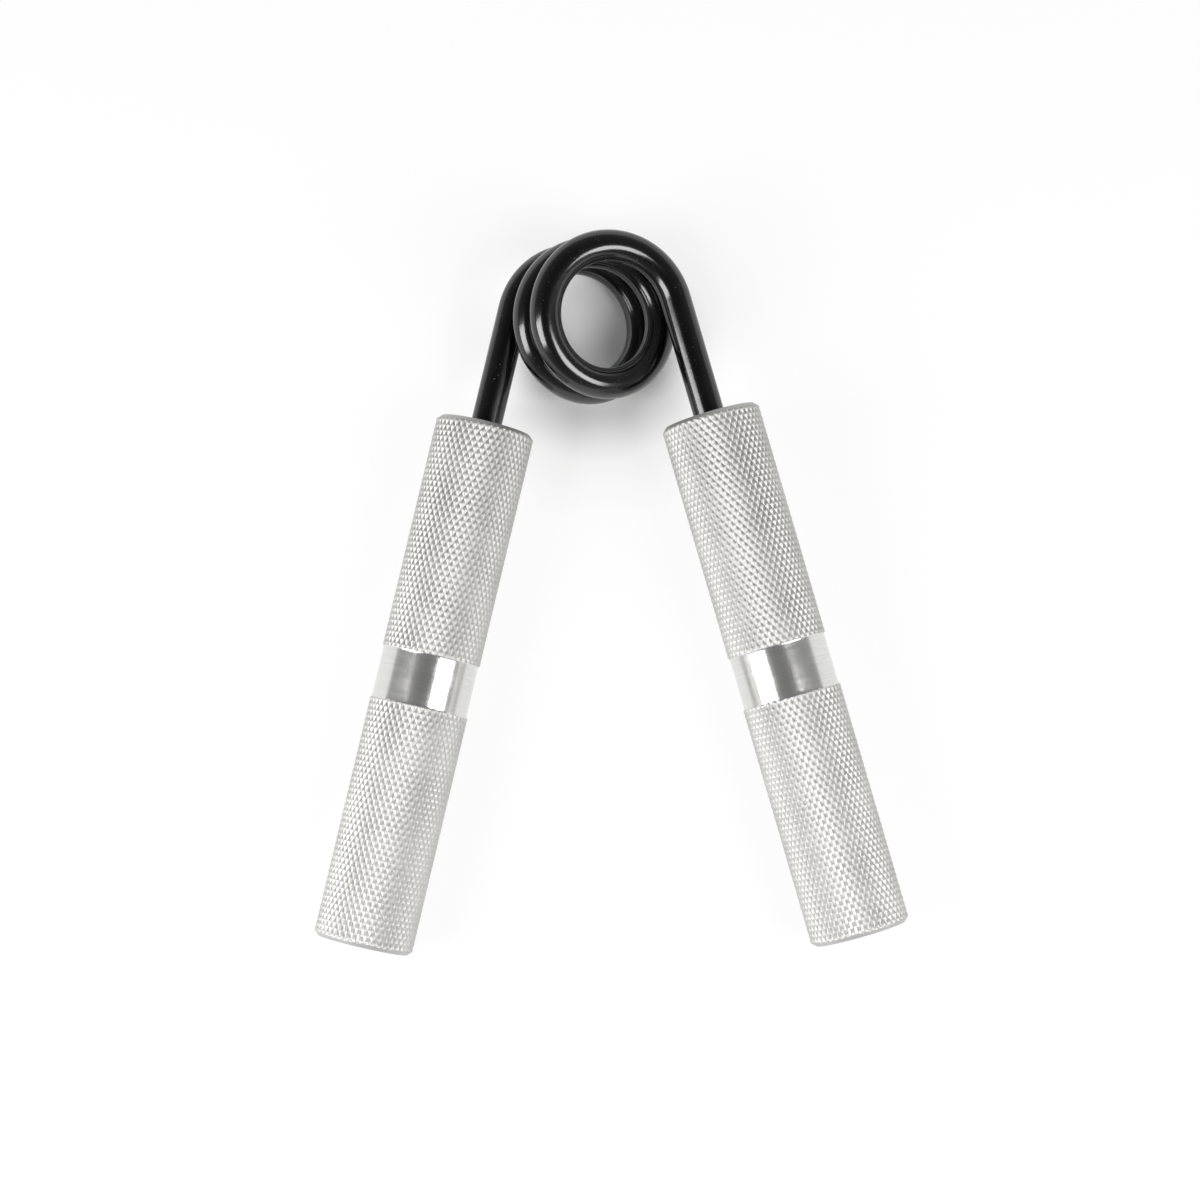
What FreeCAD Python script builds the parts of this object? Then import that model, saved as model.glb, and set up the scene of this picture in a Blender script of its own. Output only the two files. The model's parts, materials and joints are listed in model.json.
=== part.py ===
import FreeCAD, Part
import math
import os

# Hand grip strengthener: a torsion spring of round steel wire whose two straight legs are
# bonded into two knurled aluminium handles.  All lengths are millimetres, angles are degrees.
#
# The gripper is first built upright in its own spring frame: the coil's axis is Z, the handles
# hang towards -Y, and the left and right halves are each other turned half round about Y.
# It is then laid down as it comes to rest on a table: on the free end of each handle and on
# the underside of the coil.  In the finished model the table is Z = 0, +Y points from the
# handles to the coil, and the origin is under the middle of the object.

# ---- driving dimensions ----------------------------------------------------------------

wire_diameter = 7.0
coil_mean_diameter = 30.4
coil_pitch = 9.5
whole_turns = 2  # full turns that the coil makes besides the half turn over the top
leg_opening = 27.0  # between the two legs, seen along the coil's axis
leg_exposed = 27.5  # from where the wire leaves the coil to the handle's top face

handle_length = 120.0
handle_diameter = 22.4  # over the knurling
handle_chamfer = 1.0
band_depth = 0.3  # how far the smooth grip band is turned below the top of the knurling
band_start = 53.5  # from the handle's top face
band_width = 12.0

bore_depth = 36.0  # blind bore for the leg, to the start of its drill point
bore_clearance = 0.05  # adhesive film all round the leg
drill_point_angle = 118.0
leg_tip_chamfer = 0.5

CONTACT_STEP = 0.25  # spacing of the points that are tried along the coil
SETTLING_ROUNDS = 60

# ---- sizes that follow -----------------------------------------------------------------

wire_radius = wire_diameter / 2
coil_radius = coil_mean_diameter / 2
leg_lean = leg_opening / 2  # each leg's angle from the middle plane
coil_turn = 360.0 * whole_turns + 180.0 - leg_opening
coil_height = coil_pitch * coil_turn / 360.0
helix_angle = math.degrees(math.atan(coil_pitch / (math.pi * coil_mean_diameter)))
handle_radius = handle_diameter / 2
band_radius = handle_radius - band_depth
bore_radius = wire_radius + bore_clearance


def direction(lean, rise, side):
    """Unit vector of a leg, from the coil to its handle; side is +1 for right, -1 for left."""
    across = math.sin(math.radians(lean)) * math.cos(math.radians(rise))
    down = math.cos(math.radians(lean)) * math.cos(math.radians(rise))
    return FreeCAD.Vector(side * across, -down, side * math.sin(math.radians(rise)))


def coil_point(turned):
    """Point on the coil's centre line, turned degrees on from where the right leg joins it."""
    angle = math.radians(leg_lean + turned)
    height = coil_height * (0.5 - turned / coil_turn)
    return FreeCAD.Vector(coil_radius * math.cos(angle), coil_radius * math.sin(angle), height)


def leg_root(side):
    return coil_point(0.0 if side > 0 else coil_turn)


def leg_way(side):
    return direction(leg_lean, helix_angle, side)


def along_leg(side):
    """Placement whose Z runs down a leg and whose origin is where the leg leaves the coil."""
    turn = FreeCAD.Rotation(FreeCAD.Vector(0, 0, 1), leg_way(side))
    return FreeCAD.Placement(leg_root(side), turn)


# ---- pieces, in the spring frame -------------------------------------------------------


def revolved(profile):
    """Solid turned from a closed outline of (radius, height) points about Z."""
    corners = [FreeCAD.Vector(r, 0, h) for r, h in profile + profile[:1]]
    face = Part.Face(Part.makePolygon(corners))
    return face.revolve(FreeCAD.Vector(0, 0, 0), FreeCAD.Vector(0, 0, 1), 360)


def spring_coil():
    helix = Part.makeHelix(coil_pitch, coil_height, coil_radius, 0, True)
    helix.rotate(FreeCAD.Vector(0, 0, 0), FreeCAD.Vector(0, 0, 1), leg_lean + coil_turn)
    helix.translate(FreeCAD.Vector(0, 0, -coil_height / 2))
    section = Part.makeCircle(wire_radius, leg_root(-1), leg_way(-1))
    return Part.Wire(helix.Edges).makePipeShell([Part.Wire([section])], True, True)


def spring_leg(side):
    end = leg_exposed + bore_depth
    tip = wire_radius - leg_tip_chamfer
    profile = [(0, 0), (wire_radius, 0), (wire_radius, end - leg_tip_chamfer), (tip, end), (0, end)]
    leg = revolved(profile)
    leg.Placement = along_leg(side)
    return leg


def handle(side):
    point_depth = bore_radius / math.tan(math.radians(drill_point_angle / 2))
    inset = handle_radius - handle_chamfer
    band_end = band_start + band_width
    profile = [
        (bore_radius, 0),
        (inset, 0),
        (handle_radius, handle_chamfer),
        (handle_radius, band_start),
        (band_radius, band_start),
        (band_radius, band_end),
        (handle_radius, band_end),
        (handle_radius, handle_length - handle_chamfer),
        (inset, handle_length),
        (0, handle_length),
        (0, bore_depth + point_depth),
        (bore_radius, bore_depth),
    ]
    body = revolved(profile)
    past_leg = FreeCAD.Placement(FreeCAD.Vector(0, 0, leg_exposed), FreeCAD.Rotation())
    body.Placement = along_leg(side).multiply(past_leg)
    return body


# ---- how it lies on the table ----------------------------------------------------------


def lowest_on_disc(centre, axis, radius, up):
    """The point of a disc's rim that lies furthest against up."""
    fall = up - axis * axis.dot(up)
    return centre - fall.normalize() * radius


def rim_points(side, from_top, radius, up):
    way = leg_way(side)
    centre = leg_root(side) + way * (leg_exposed + from_top)
    return lowest_on_disc(centre, way, radius, up)


def handle_points(side, up, free_end):
    """Lowest points of the two rims at one end of a handle."""
    inset = handle_radius - handle_chamfer
    if free_end:
        return [
            rim_points(side, handle_length - handle_chamfer, handle_radius, up),
            rim_points(side, handle_length, inset, up),
        ]
    return [rim_points(side, handle_chamfer, handle_radius, up), rim_points(side, 0, inset, up)]


def coil_lowest(up):
    steps = int(coil_turn / CONTACT_STEP)
    centres = [coil_point(coil_turn * n / steps) for n in range(steps + 1)]
    return min(centres, key=lambda p: p.dot(up)) - up * wire_radius


def lowest(points, up):
    return min(points, key=lambda p: p.dot(up))


def contacts(up):
    """Where the gripper meets the table: both free ends, and the coil or a handle's top."""
    near_coil = [coil_lowest(up)] + handle_points(1, up, False) + handle_points(-1, up, False)
    return [lowest(handle_points(side, up, True), up) for side in (-1, 1)] + [lowest(near_coil, up)]


def resting_up():
    """Direction, in the spring frame, that points up once the gripper has come to rest."""
    up = FreeCAD.Vector(-math.sin(math.radians(leg_opening)), 0, math.cos(math.radians(leg_opening)))
    for _ in range(SETTLING_ROUNDS):
        left, right, top = contacts(up)
        up = (right - left).cross(top - left).normalize()
    return up


def reach(way):
    """How far the gripper extends along a direction."""
    points = [coil_lowest(way * -1)]
    for side in (-1, 1):
        points += handle_points(side, way * -1, True) + handle_points(side, way * -1, False)
    return max(p.dot(way) for p in points)


def lying_down():
    up = resting_up()
    towards_coil = (FreeCAD.Vector(0, 1, 0) - up * up.y).normalize()
    across = towards_coil.cross(up)
    middle_x = (reach(across) - reach(across * -1)) / 2
    middle_y = (reach(towards_coil) - reach(towards_coil * -1)) / 2
    turned = FreeCAD.Rotation(across, towards_coil, up, "ZXY").inverted()
    return FreeCAD.Placement(FreeCAD.Vector(-middle_x, -middle_y, reach(up * -1)), turned)


# ---- the model -------------------------------------------------------------------------

pieces = {
    "spring_coil": spring_coil(),
    "spring_leg_left": spring_leg(-1),
    "spring_leg_right": spring_leg(1),
    "handle_left": handle(-1),
    "handle_right": handle(1),
}

os.makedirs("parts", exist_ok=True)
lie = lying_down()
for node, shape in pieces.items():
    shape.Placement = lie.multiply(shape.Placement)
    shape.exportStep(f"parts/{node}.step")
    box = shape.optimalBoundingBox()
    print(node, shape.ShapeType, shape.isValid(), round(shape.Volume, 2),
          [round(v, 3) for v in (box.XMin, box.XMax, box.YMin, box.YMax, box.ZMin, box.ZMax)])

axis = lie.Rotation.multVec(FreeCAD.Vector(0, 0, 1))
print("coil centre", [round(v, 4) for v in lie.Base], "coil axis", [round(v, 5) for v in axis])
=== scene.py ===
import json
import math

import bpy
import numpy as np
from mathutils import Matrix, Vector


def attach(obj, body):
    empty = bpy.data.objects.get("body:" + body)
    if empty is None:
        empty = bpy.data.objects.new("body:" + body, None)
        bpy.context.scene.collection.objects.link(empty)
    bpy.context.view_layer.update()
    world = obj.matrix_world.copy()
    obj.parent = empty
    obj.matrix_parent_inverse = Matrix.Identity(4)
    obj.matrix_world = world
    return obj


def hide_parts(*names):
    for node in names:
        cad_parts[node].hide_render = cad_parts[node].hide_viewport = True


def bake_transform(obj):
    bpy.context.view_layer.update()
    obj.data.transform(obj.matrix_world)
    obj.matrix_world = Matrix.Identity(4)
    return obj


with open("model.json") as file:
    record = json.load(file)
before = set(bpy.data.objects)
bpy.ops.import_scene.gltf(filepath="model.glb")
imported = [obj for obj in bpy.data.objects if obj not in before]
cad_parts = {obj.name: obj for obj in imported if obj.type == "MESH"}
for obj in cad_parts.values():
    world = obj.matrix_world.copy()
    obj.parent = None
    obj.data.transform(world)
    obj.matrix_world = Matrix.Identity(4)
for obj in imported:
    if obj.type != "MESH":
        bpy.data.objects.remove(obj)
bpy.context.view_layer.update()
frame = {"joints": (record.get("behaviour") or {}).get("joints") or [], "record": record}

# Hand grip strengthener.  Lengths are millimetres and angles are degrees, turned into metres
# and radians where Blender needs them.  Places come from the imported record: the coil's axis
# from the joint, and each handle's axis and free end from the mount on its end face.

MM = 0.001
TINY = 1e-6  # allowance for rounding

# ---- sizes, the same as the CAD model's -------------------------------------------------

wire_radius = 3.5
coil_radius = 15.2
coil_pitch = 9.5
whole_turns = 2
leg_exposed = 27.5
leg_tip_chamfer = 0.5

handle_length = 120.0
handle_radius = 11.2
handle_chamfer = 1.0
band_radius = 10.9
band_start = 53.5
band_width = 12.0
band_fillet = 0.5  # radius of the hollow corner at each end of the band
bore_radius = 3.55
bore_depth = 36.0
drill_point_angle = 118.0

# ---- the knurling -----------------------------------------------------------------------

knurl_starts = 45  # grooves of each hand round the handle
knurl_pitch = 2.58  # along the handle, from one groove to the next of the same hand
knurl_depth = 0.3
knurl_land = 0.24  # width of a diamond's flat tip, as a share of the pitch

# ---- how finely the meshes are divided --------------------------------------------------

wire_sides = 56
coil_step = 2.5  # degrees of the coil between two rings of the wire
leg_step = 2.0  # along a leg between two rings
chamfer_rows = 6
band_rows = 12
fillet_rows = 6

# ---- camera -----------------------------------------------------------------------------

camera_lens = 90.0
camera_sensor = 36.0
camera_target = (-1.2, -0.6, 0.0)  # the point of the table in the middle of the picture
camera_distance = 687.0  # of the camera from there
camera_turn = (5.71, 3.39, -1.34)  # about X, Y and Z


def in_metres(points):
    return np.asarray(points, float) * MM


def unit(vector):
    return vector / np.linalg.norm(vector)


# ---- places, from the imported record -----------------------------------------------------

mounts = {mount["name"]: mount for mount in frame["record"]["mounts"]}
squeeze = frame["joints"][0]
coil_centre = np.array(squeeze["pos_m"]) / MM
coil_axis = -unit(np.array(squeeze["axis"]))  # upwards, as the joint's points down


class Side:
    """One half: where its leg leaves the coil, which way it goes, and its handle's two ends.
    e1 and e2 are the directions across it."""

    def __init__(self, name):
        end = mounts[f"handle_{name}_end"]
        self.body = f"{name}_side"
        self.way = unit(np.array(end["axis"]))
        self.free_end = np.array(end["pos_m"]) / MM
        self.top = self.free_end - self.way * handle_length
        self.root = self.top - self.way * leg_exposed
        self.e1 = unit(np.cross(self.way, coil_axis))
        self.e2 = np.cross(self.way, self.e1)


left = Side("left")
right = Side("right")

# directions across the coil's axis: y from the handles towards the coil, and x square to it
spring_y = -unit(left.way + right.way)
spring_x = np.cross(spring_y, coil_axis)


def angle_round_coil(point):
    across = point - coil_centre
    return math.atan2(across @ spring_y, across @ spring_x)


# ---- meshes -----------------------------------------------------------------------------


def new_object(name, points, faces, smooth):
    mesh = bpy.data.meshes.new(name)
    mesh.from_pydata(in_metres(points).tolist(), [], faces)
    mesh.validate()
    mesh.polygons.foreach_set("use_smooth", smooth)
    mesh.update()
    piece = bpy.data.objects.new(name, mesh)
    bpy.context.scene.collection.objects.link(piece)
    return piece


def ring_quads(ring, sides):
    """Quads between a ring of points and the next."""
    a = ring * sides
    return [
        (a + k, a + (k + 1) % sides, a + sides + (k + 1) % sides, a + sides + k)
        for k in range(sides)
    ]


def wire_frames():
    """Centre, outward and sideways direction and radius of each ring along the spring's wire."""
    start = angle_round_coil(right.root)
    turned = 2 * math.pi * whole_turns + math.pi - 2 * start
    height = coil_pitch * turned / (2 * math.pi)
    rings = []

    def ring_at(turn, past_root, side, radius):
        angle = start + turn
        out = math.cos(angle) * spring_x + math.sin(angle) * spring_y
        centre = coil_centre + coil_radius * out + height * (0.5 - turn / turned) * coil_axis
        along = -math.sin(angle) * spring_x + math.cos(angle) * spring_y
        along = unit(coil_radius * along - coil_pitch / (2 * math.pi) * coil_axis)
        if side is not None:
            centre = side.root + past_root * side.way
        rings.append((centre, out, np.cross(along, out), radius))

    leg_length = leg_exposed + bore_depth
    tip = wire_radius - leg_tip_chamfer
    stations = [(leg_length, tip), (leg_length - leg_tip_chamfer, wire_radius)]
    steps = int(leg_length / leg_step)
    stations += [(leg_length * k / steps, wire_radius) for k in range(steps - 1, 0, -1)]
    for past_root, radius in stations:
        ring_at(0.0, past_root, right, radius)
    coil_steps = round(math.degrees(turned) / coil_step)
    for k in range(coil_steps + 1):
        ring_at(turned * k / coil_steps, 0.0, None, wire_radius)
    for past_root, radius in reversed(stations):
        ring_at(turned, past_root, left, radius)
    return rings


def make_spring():
    rings = wire_frames()
    turn = np.linspace(0, 2 * np.pi, wire_sides, endpoint=False)[:, None]
    points = [
        centre + radius * (np.cos(turn) * out + np.sin(turn) * aside)
        for centre, out, aside, radius in rings
    ]
    faces = []
    for k in range(len(rings) - 1):
        faces += ring_quads(k, wire_sides)
    last = (len(rings) - 1) * wire_sides
    faces.append(tuple(range(wire_sides))[::-1])
    faces.append(tuple(range(last, last + wire_sides)))
    smooth = [True] * (len(faces) - 2) + [False] * 2
    return new_object("spring", np.vstack(points), faces, smooth)


# ---- handles ----------------------------------------------------------------------------


def lattice(first, last):
    """Lines of the knurl's grid from first to last, in pitches: peaks and crossings of the
    grooves lie on multiples of a half, and a diamond's tip reaches half a land to each side."""
    halves = range(math.floor(2 * first), math.ceil(2 * last))
    lines = [m / 2 + d for m in halves for d in (0, knurl_land / 2, 0.5 - knurl_land / 2)]
    return [line for line in lines if first <= line < last]


def knurl_fall(turn, along):
    """How far the surface lies below the diamonds' tips; turn and along are in pitches."""
    up = np.abs(2 * ((turn + along) % 1) - 1)
    down = np.abs(2 * ((turn - along) % 1) - 1)
    slope = (np.maximum(up, down) - knurl_land) / (1 - knurl_land)
    return knurl_depth * np.clip(slope, 0, 1)


def handle_outline(along):
    """Radius that the handle was turned to before knurling, along mm from its top face."""
    from_end = min(along, handle_length - along)
    return handle_radius - handle_chamfer + min(from_end, handle_chamfer)


def knurled_rows(first, last):
    """Distances of the rows of points along a knurled stretch, in mm."""
    rows = [line * knurl_pitch for line in lattice(first / knurl_pitch, last / knurl_pitch)]
    chamfer_steps = [handle_chamfer * k / chamfer_rows for k in range(1, chamfer_rows + 1)]
    for end, inward in ((first, 1), (last, -1)):
        if end in (0.0, handle_length):
            rows += [end + inward * step for step in chamfer_steps]
    return sorted({round(row, 4) for row in rows + [first, last]})


def fillet_steps():
    """Distance along the handle from the step, and height as a share of the step, of the rows
    of points down the hollow corner beside the band."""
    steepest = math.acos(1 - (handle_radius - band_radius) / band_fillet)
    steps = []
    for row in range(1, fillet_rows + 1):
        tilt = steepest * (1 - row / fillet_rows)
        past_step = band_fillet * (math.sin(steepest) - math.sin(tilt))
        steps.append((past_step, (1 - math.cos(tilt)) / (1 - math.cos(steepest))))
    return steps


def handle_rings(columns):
    """Rings of points round a handle, from the end of the bore out over the top face and on to
    the free end. Each has its distance along, its radius at every column, and how the faces
    from it to the next ring are made: smooth, flat or knurl."""
    rings = []

    def add_ring(along, radius, to_next):
        rings.append((along, np.broadcast_to(radius, len(columns)), to_next))

    def knurled_radius(along):
        cut = handle_radius - knurl_fall(columns, along / knurl_pitch)
        return np.minimum(cut, handle_outline(along))

    def add_knurled(first, last, beyond):
        rows = knurled_rows(first, last)
        for along in rows[:-1]:
            add_ring(along, knurled_radius(along), "knurl")
        add_ring(rows[-1], knurled_radius(rows[-1]), beyond)

    def add_band(first, last):
        steps = fillet_steps()
        corner = steps[-1][0]
        height = knurled_radius(first) - band_radius
        for past_step, share in steps:
            add_ring(first + past_step, band_radius + share * height, "smooth")
        for along in np.linspace(first + corner, last - corner, band_rows + 1)[1:-1]:
            add_ring(along, band_radius, "smooth")
        height = knurled_radius(last) - band_radius
        for past_step, share in reversed(steps):
            add_ring(last - past_step, band_radius + share * height, "smooth")

    band_end = band_start + band_width
    add_ring(bore_depth, bore_radius, "smooth")
    add_ring(0.0, bore_radius, "flat")
    add_knurled(0.0, band_start, "smooth")
    add_band(band_start, band_end)
    add_knurled(band_end, handle_length, "flat")
    return rings


def knurl_triangles(quads, columns, middle):
    """Cuts each quad along the diamonds' edges; middle is how far along they lie, in pitches."""
    triangles = []
    for column, (a, b, c, d) in zip(columns, quads):
        half_cells = math.floor(2 * (column + TINY)) + math.floor(2 * middle)
        if half_cells % 2:
            triangles += [(a, b, d), (b, c, d)]
        else:
            triangles += [(a, b, c), (a, c, d)]
    return triangles


def make_handle(name, side):
    columns = np.array(lattice(0, knurl_starts))
    rings = handle_rings(columns)
    sides = len(columns)
    turn = 2 * np.pi * columns / knurl_starts
    out = np.cos(turn)[:, None] * side.e1 + np.sin(turn)[:, None] * side.e2
    points = [side.top + along * side.way + radius[:, None] * out for along, radius, _ in rings]
    point_depth = bore_radius / math.tan(math.radians(drill_point_angle / 2))
    points += [(side.top + (bore_depth + point_depth) * side.way)[None], side.free_end[None]]

    drill_tip = len(rings) * sides
    end_middle = drill_tip + 1
    faces = [(drill_tip, (k + 1) % sides, k) for k in range(sides)]
    smooth = [True] * sides
    for row, (along, _, to_next) in enumerate(rings[:-1]):
        row_faces = ring_quads(row, sides)
        if to_next == "knurl":
            middle = (along + rings[row + 1][0]) / 2 / knurl_pitch
            row_faces = knurl_triangles(row_faces, columns, middle)
        faces += row_faces
        smooth += [to_next != "flat"] * len(row_faces)
    last = (len(rings) - 1) * sides
    faces += [(end_middle, last + k, last + (k + 1) % sides) for k in range(sides)]
    smooth += [False] * sides
    handle = new_object(name, np.vstack(points), faces, smooth)
    mark_sharp(handle.data, rings)
    return handle


def mark_sharp(mesh, rings):
    """Marks the bottoms of the grooves, and the rings where one kind of surface meets another."""
    ends = np.zeros(2 * len(mesh.edges), int)
    mesh.edges.foreach_get("vertices", ends)
    ends = ends.reshape(-1, 2)
    sides = len(rings[0][1])
    bottom = handle_radius - knurl_depth + TINY
    deep = [(to_next == "knurl") & (radius < bottom) for _, radius, to_next in rings]
    deep = np.append(np.concatenate(deep), [False, False])  # the drill's tip, the end's middle
    rims = [k for k in range(1, len(rings)) if rings[k][2] != rings[k - 1][2]] + [len(rings) - 1]
    rows = ends // sides
    sharp = deep[ends].all(axis=1) | ((rows[:, 0] == rows[:, 1]) & np.isin(rows[:, 0], rims))
    mesh.attributes.new("sharp_edge", "BOOLEAN", "EDGE").data.foreach_set("value", sharp)


# ---- materials --------------------------------------------------------------------------

line_drift = 0.08  # change of the turned lines across a handle, as a share of that along it


class Nodes:
    """The node tree of a material or of the world, with short ways to add and link nodes."""

    def __init__(self, owner, output="ShaderNodeOutputMaterial"):
        owner.use_nodes = True
        self.owner = owner
        self.tree = owner.node_tree
        self.tree.nodes.clear()
        self.output = self.add(output)

    def add(self, kind, **settings):
        node = self.tree.nodes.new(kind)
        for key, value in settings.items():
            setattr(node, key, value)
        return node

    def put(self, value, socket):
        """Links an output socket to an input, or sets the input to a plain value."""
        if isinstance(value, bpy.types.NodeSocket):
            self.tree.links.new(value, socket)
        else:
            socket.default_value = value

    def math(self, operation, *values):
        node = self.add("ShaderNodeMath", operation=operation)
        for value, socket in zip(values, node.inputs):
            self.put(value, socket)
        return node.outputs[0]

    def vector(self, operation, *values):
        """Vector math, whose result is a number for a dot product, a length or a distance."""
        node = self.add("ShaderNodeVectorMath", operation=operation)
        for value, socket in zip(values, node.inputs):
            self.put(value, socket)
        is_number = operation in ("DOT_PRODUCT", "LENGTH", "DISTANCE")
        return node.outputs["Value" if is_number else "Vector"]

    def noise(self, where, scale, detail=3.0, roughness=0.5):
        """Noise with this many cells to the metre."""
        node = self.add("ShaderNodeTexNoise")
        self.put(where, node.inputs["Vector"])
        node.inputs["Scale"].default_value = scale
        node.inputs["Detail"].default_value = detail
        node.inputs["Roughness"].default_value = roughness
        return node.outputs["Fac"]

    def between(self, value, given, wanted=(0.0, 1.0)):
        """Turns values in the given range, clamped to it, into the wanted range."""
        node = self.add("ShaderNodeMapRange")
        for setting, socket in zip((value, *given, *wanted), node.inputs):
            self.put(setting, socket)
        return node.outputs[0]

    def ramp(self, value, levels):
        """Grey that follows (value, level) pairs, the first at 0 and the last at 1."""
        node = self.add("ShaderNodeValToRGB")
        self.put(value, node.inputs["Fac"])
        for at, _ in levels[1:-1]:
            node.color_ramp.elements.new(at)
        for element, (at, level) in zip(node.color_ramp.elements, levels):
            element.position = at
            element.color = grey(level)
        return node.outputs["Color"]

    def mix(self, share, one, other):
        """Mix of two colours, on the colour sockets that the mix node keeps at these places."""
        node = self.add("ShaderNodeMix", data_type="RGBA")
        self.put(share, node.inputs["Factor"])
        self.put(one, node.inputs[6])
        self.put(other, node.inputs[7])
        return node.outputs[2]

    def bump(self, height, strength, distance):
        node = self.add("ShaderNodeBump")
        self.put(height, node.inputs["Height"])
        node.inputs["Strength"].default_value = strength
        node.inputs["Distance"].default_value = distance * MM
        return node.outputs["Normal"]

    def surface(self, sockets):
        """Gives the material a principled surface with these values or links, and returns it."""
        shader = self.add("ShaderNodeBsdfPrincipled")
        for name, value in sockets.items():
            self.put(value, shader.inputs[name])
        self.put(shader.outputs[0], self.output.inputs["Surface"])
        return self.owner


def grey(level, warmth=0.0):
    """A grey of this level, with less blue by the share warmth and less green by a fifth of it."""
    return (level, level * (1 - warmth / 5), level * (1 - warmth), 1.0)


def place(nodes):
    return nodes.add("ShaderNodeTexCoord").outputs["Object"]


def round_handle(nodes, side):
    """Distances along and from the handle's axis, so that noise makes lines round the handle
    and rings on its ends; the third part keeps them from being quite even."""
    from_top = nodes.vector("SUBTRACT", place(nodes), in_metres(side.top))
    parts = nodes.add("ShaderNodeCombineXYZ")
    nodes.put(nodes.vector("DOT_PRODUCT", from_top, side.way), parts.inputs[0])
    across = nodes.vector("CROSS_PRODUCT", from_top, side.way)
    nodes.put(nodes.vector("LENGTH", across), parts.inputs[1])
    nodes.put(nodes.vector("DOT_PRODUCT", from_top, side.e1 * line_drift), parts.inputs[2])
    return parts.outputs[0]


def black_coating():
    """Gloss black with a faint orange peel, and specks of dust where the noise peaks."""
    nodes = Nodes(bpy.data.materials.new("gloss_black_coating"))
    here = place(nodes)
    peel = nodes.noise(here, scale=900.0, detail=2.0)
    cloud = nodes.noise(here, scale=160.0)
    specks = nodes.between(nodes.noise(here, scale=2200.0, detail=1.0), given=(0.73, 0.77))
    black = nodes.mix(nodes.between(cloud, given=(0.35, 0.65)), grey(0.001), grey(0.002))
    return nodes.surface({
        "Base Color": nodes.mix(specks, black, grey(0.08)),
        "Roughness": nodes.between(cloud, given=(0.3, 0.7), wanted=(0.14, 0.19)),
        "IOR": 1.65,
        "Normal": nodes.bump(peel, strength=0.5, distance=0.02),
    })


def knurled_aluminium():
    """Bright but dulled by the knurling wheel, with a fine grain."""
    nodes = Nodes(bpy.data.materials.new("knurled_aluminium"))
    here = place(nodes)
    cloud = nodes.noise(here, scale=120.0)
    grain = nodes.noise(here, scale=4000.0, detail=2.0)
    shade = nodes.between(cloud, given=(0.35, 0.65))
    return nodes.surface({
        "Base Color": nodes.mix(shade, grey(0.53, warmth=0.035), grey(0.59, warmth=0.035)),
        "Metallic": 1.0,
        "Roughness": nodes.between(cloud, given=(0.3, 0.7), wanted=(0.57, 0.64)),
        "Normal": nodes.bump(grain, strength=0.2, distance=0.01),
    })


def turned_aluminium(name, side):
    """Smooth band and end faces, with the fine lines that turning left round them."""
    nodes = Nodes(bpy.data.materials.new(name))
    lines = nodes.noise(round_handle(nodes, side), scale=2200.0, roughness=0.6)
    cloud = nodes.noise(place(nodes), scale=200.0)
    shade = nodes.between(lines, given=(0.3, 0.7))
    shine = nodes.math("ADD", cloud, lines)
    return nodes.surface({
        "Base Color": nodes.mix(shade, grey(0.65, warmth=0.02), grey(0.74, warmth=0.02)),
        "Metallic": 0.88,
        "Roughness": nodes.between(shine, given=(0.7, 1.3), wanted=(0.15, 0.22)),
        "Normal": nodes.bump(lines, strength=0.6, distance=0.01),
    })


# ---- the pieces -------------------------------------------------------------------------

aluminium = knurled_aluminium()

spring = make_spring()
spring.data.materials.append(black_coating())
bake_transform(spring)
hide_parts("spring_coil", "spring_leg_left", "spring_leg_right")

end_margin = 0.01  # a face whose middle is this near to an end of the handle is its end face


def finish_handle(name, side):
    handle = make_handle(f"knurled_{name}", side)
    handle.data.materials.append(aluminium)
    handle.data.materials.append(turned_aluminium(f"turned_{name}", side))
    centres = np.zeros(len(handle.data.polygons) * 3)
    handle.data.polygons.foreach_get("center", centres)
    along = (centres.reshape(-1, 3) / MM - side.top) @ side.way
    on_band = (along > band_start) & (along < band_start + band_width)
    on_end = (along < end_margin) | (along > handle_length - end_margin)
    handle.data.polygons.foreach_set("material_index", (on_band | on_end).astype(int))
    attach(handle, side.body)
    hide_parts(name)


finish_handle("handle_left", left)
finish_handle("handle_right", right)

# ---- floor, world, lamps and camera -----------------------------------------------------

floor_size = 40000.0
floor_colour = 0.8
floor_gain = 1.15  # how much paler the floor shows to the camera and in reflections
shadow_middle = (0.0, 57.7, 0.0)  # the shadow is deepest here, below the coil
all_white_from = 400.0  # beyond this distance from there the floor shows plain white
# share of plain white in the floor at distances from there, as a share of all_white_from
floor_fade = [(0.0, 0.0), (0.038, 0.0), (0.066, 0.7), (0.1, 0.88), (0.3, 0.88), (1.0, 1.0)]

# brightness of the studio at heights above the horizon, from 0 to 1 straight up
world_levels = [(0.0, 1.0), (0.1, 1.0), (0.2, 0.3), (1.0, 0.07)]

lamp_radiance = 9.3  # watts per square metre and steradian
lamp_distance = 500.0  # of a lamp from the Y axis


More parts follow.
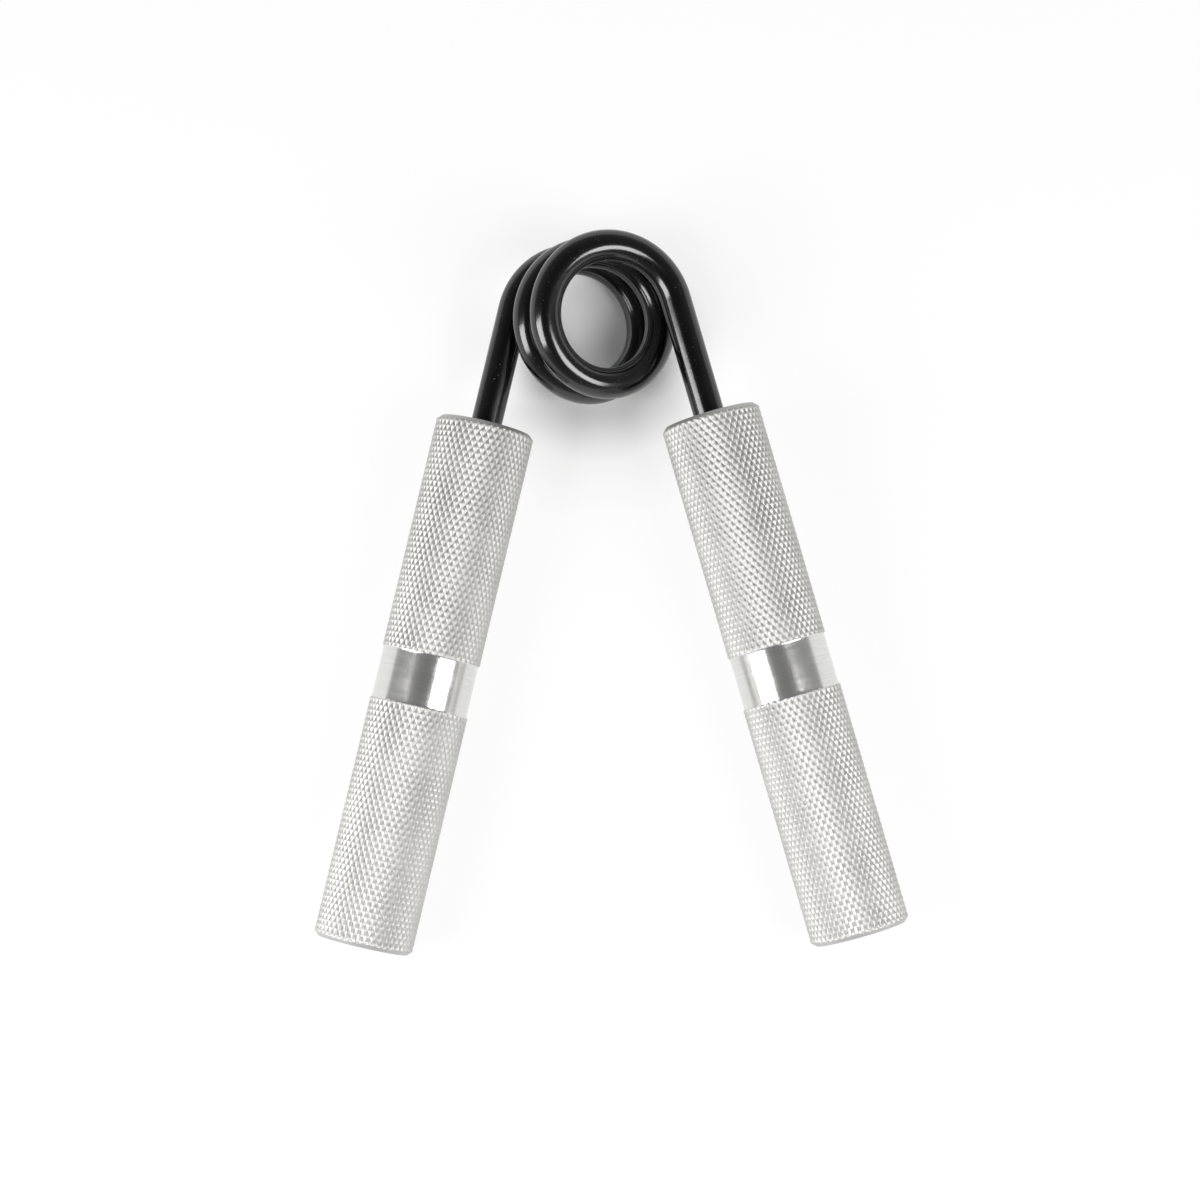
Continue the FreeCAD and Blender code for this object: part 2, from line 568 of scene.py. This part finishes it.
def make_floor():
    bpy.ops.mesh.primitive_plane_add(size=floor_size * MM, location=(0, 0, 0))
    floor = bpy.context.object
    floor.name = "floor"
    nodes = Nodes(bpy.data.materials.new("pale_floor"))
    path = nodes.add("ShaderNodeLightPath")
    seen = nodes.math("MAXIMUM", path.outputs["Is Camera Ray"], path.outputs["Is Glossy Ray"])
    seen = nodes.math("MAXIMUM", seen, path.outputs["Is Transmission Ray"])
    shadowed = nodes.add("ShaderNodeBsdfDiffuse")
    colour = nodes.mix(seen, grey(floor_colour), grey(floor_colour * floor_gain))
    nodes.put(colour, shadowed.inputs["Color"])
    from_coil = nodes.vector("DISTANCE", place(nodes), in_metres(shadow_middle))
    far = nodes.math("DIVIDE", from_coil, all_white_from * MM)
    white = nodes.add("ShaderNodeEmission")
    both = nodes.add("ShaderNodeMixShader")
    nodes.put(nodes.math("MULTIPLY", nodes.ramp(far, floor_fade), seen), both.inputs["Fac"])
    nodes.put(shadowed.outputs[0], both.inputs[1])
    nodes.put(white.outputs[0], both.inputs[2])
    nodes.put(both.outputs[0], nodes.output.inputs["Surface"])
    floor.data.materials.append(nodes.owner)


def make_world():
    bpy.context.scene.world = bpy.data.worlds.new("studio")
    nodes = Nodes(bpy.context.scene.world, "ShaderNodeOutputWorld")
    way = nodes.add("ShaderNodeSeparateXYZ")
    nodes.put(nodes.add("ShaderNodeTexCoord").outputs["Generated"], way.inputs[0])
    background = nodes.add("ShaderNodeBackground")
    nodes.put(nodes.ramp(way.outputs["Z"], world_levels), background.inputs["Color"])
    nodes.put(background.outputs[0], nodes.output.inputs["Surface"])


def add_softbox(name, from_vertical, across, length, ahead):
    """A rectangular lamp that faces the Y axis. It stands from_vertical round that axis, to the
    right if that is positive, and its middle lies ahead of the origin, towards -Y. Its length
    is its size along Y, and across is its other size."""
    lamp = bpy.data.lights.new(name, "AREA")
    lamp.shape = "RECTANGLE"
    lamp.size = across * MM
    lamp.size_y = length * MM
    lamp.energy = lamp_radiance * math.pi * across * MM * length * MM
    softbox = bpy.data.objects.new(name, lamp)
    bpy.context.scene.collection.objects.link(softbox)
    turn = math.radians(from_vertical)
    middle = (lamp_distance * math.sin(turn), -ahead, lamp_distance * math.cos(turn))
    softbox.location = in_metres(middle)
    softbox.rotation_euler = (0, turn, 0)
    softbox.visible_camera = False


def make_camera():
    data = bpy.data.cameras.new("camera")
    data.lens = camera_lens
    data.sensor_width = camera_sensor
    data.clip_start = 50 * MM
    data.clip_end = 100000 * MM
    camera = bpy.data.objects.new("camera", data)
    bpy.context.scene.collection.objects.link(camera)
    camera.rotation_euler = [math.radians(turn) for turn in camera_turn]
    back = camera.rotation_euler.to_matrix() @ Vector((0, 0, 1))
    camera.location = Vector(in_metres(camera_target)) + back * camera_distance * MM
    bpy.context.scene.camera = camera


make_floor()
make_world()
add_softbox("softbox_right", from_vertical=42.3, across=324.0, length=242.0, ahead=159.0)
add_softbox("softbox_left", from_vertical=-50.0, across=350.0, length=274.0, ahead=140.0)
make_camera()
bpy.context.scene.view_settings.view_transform = "Standard"
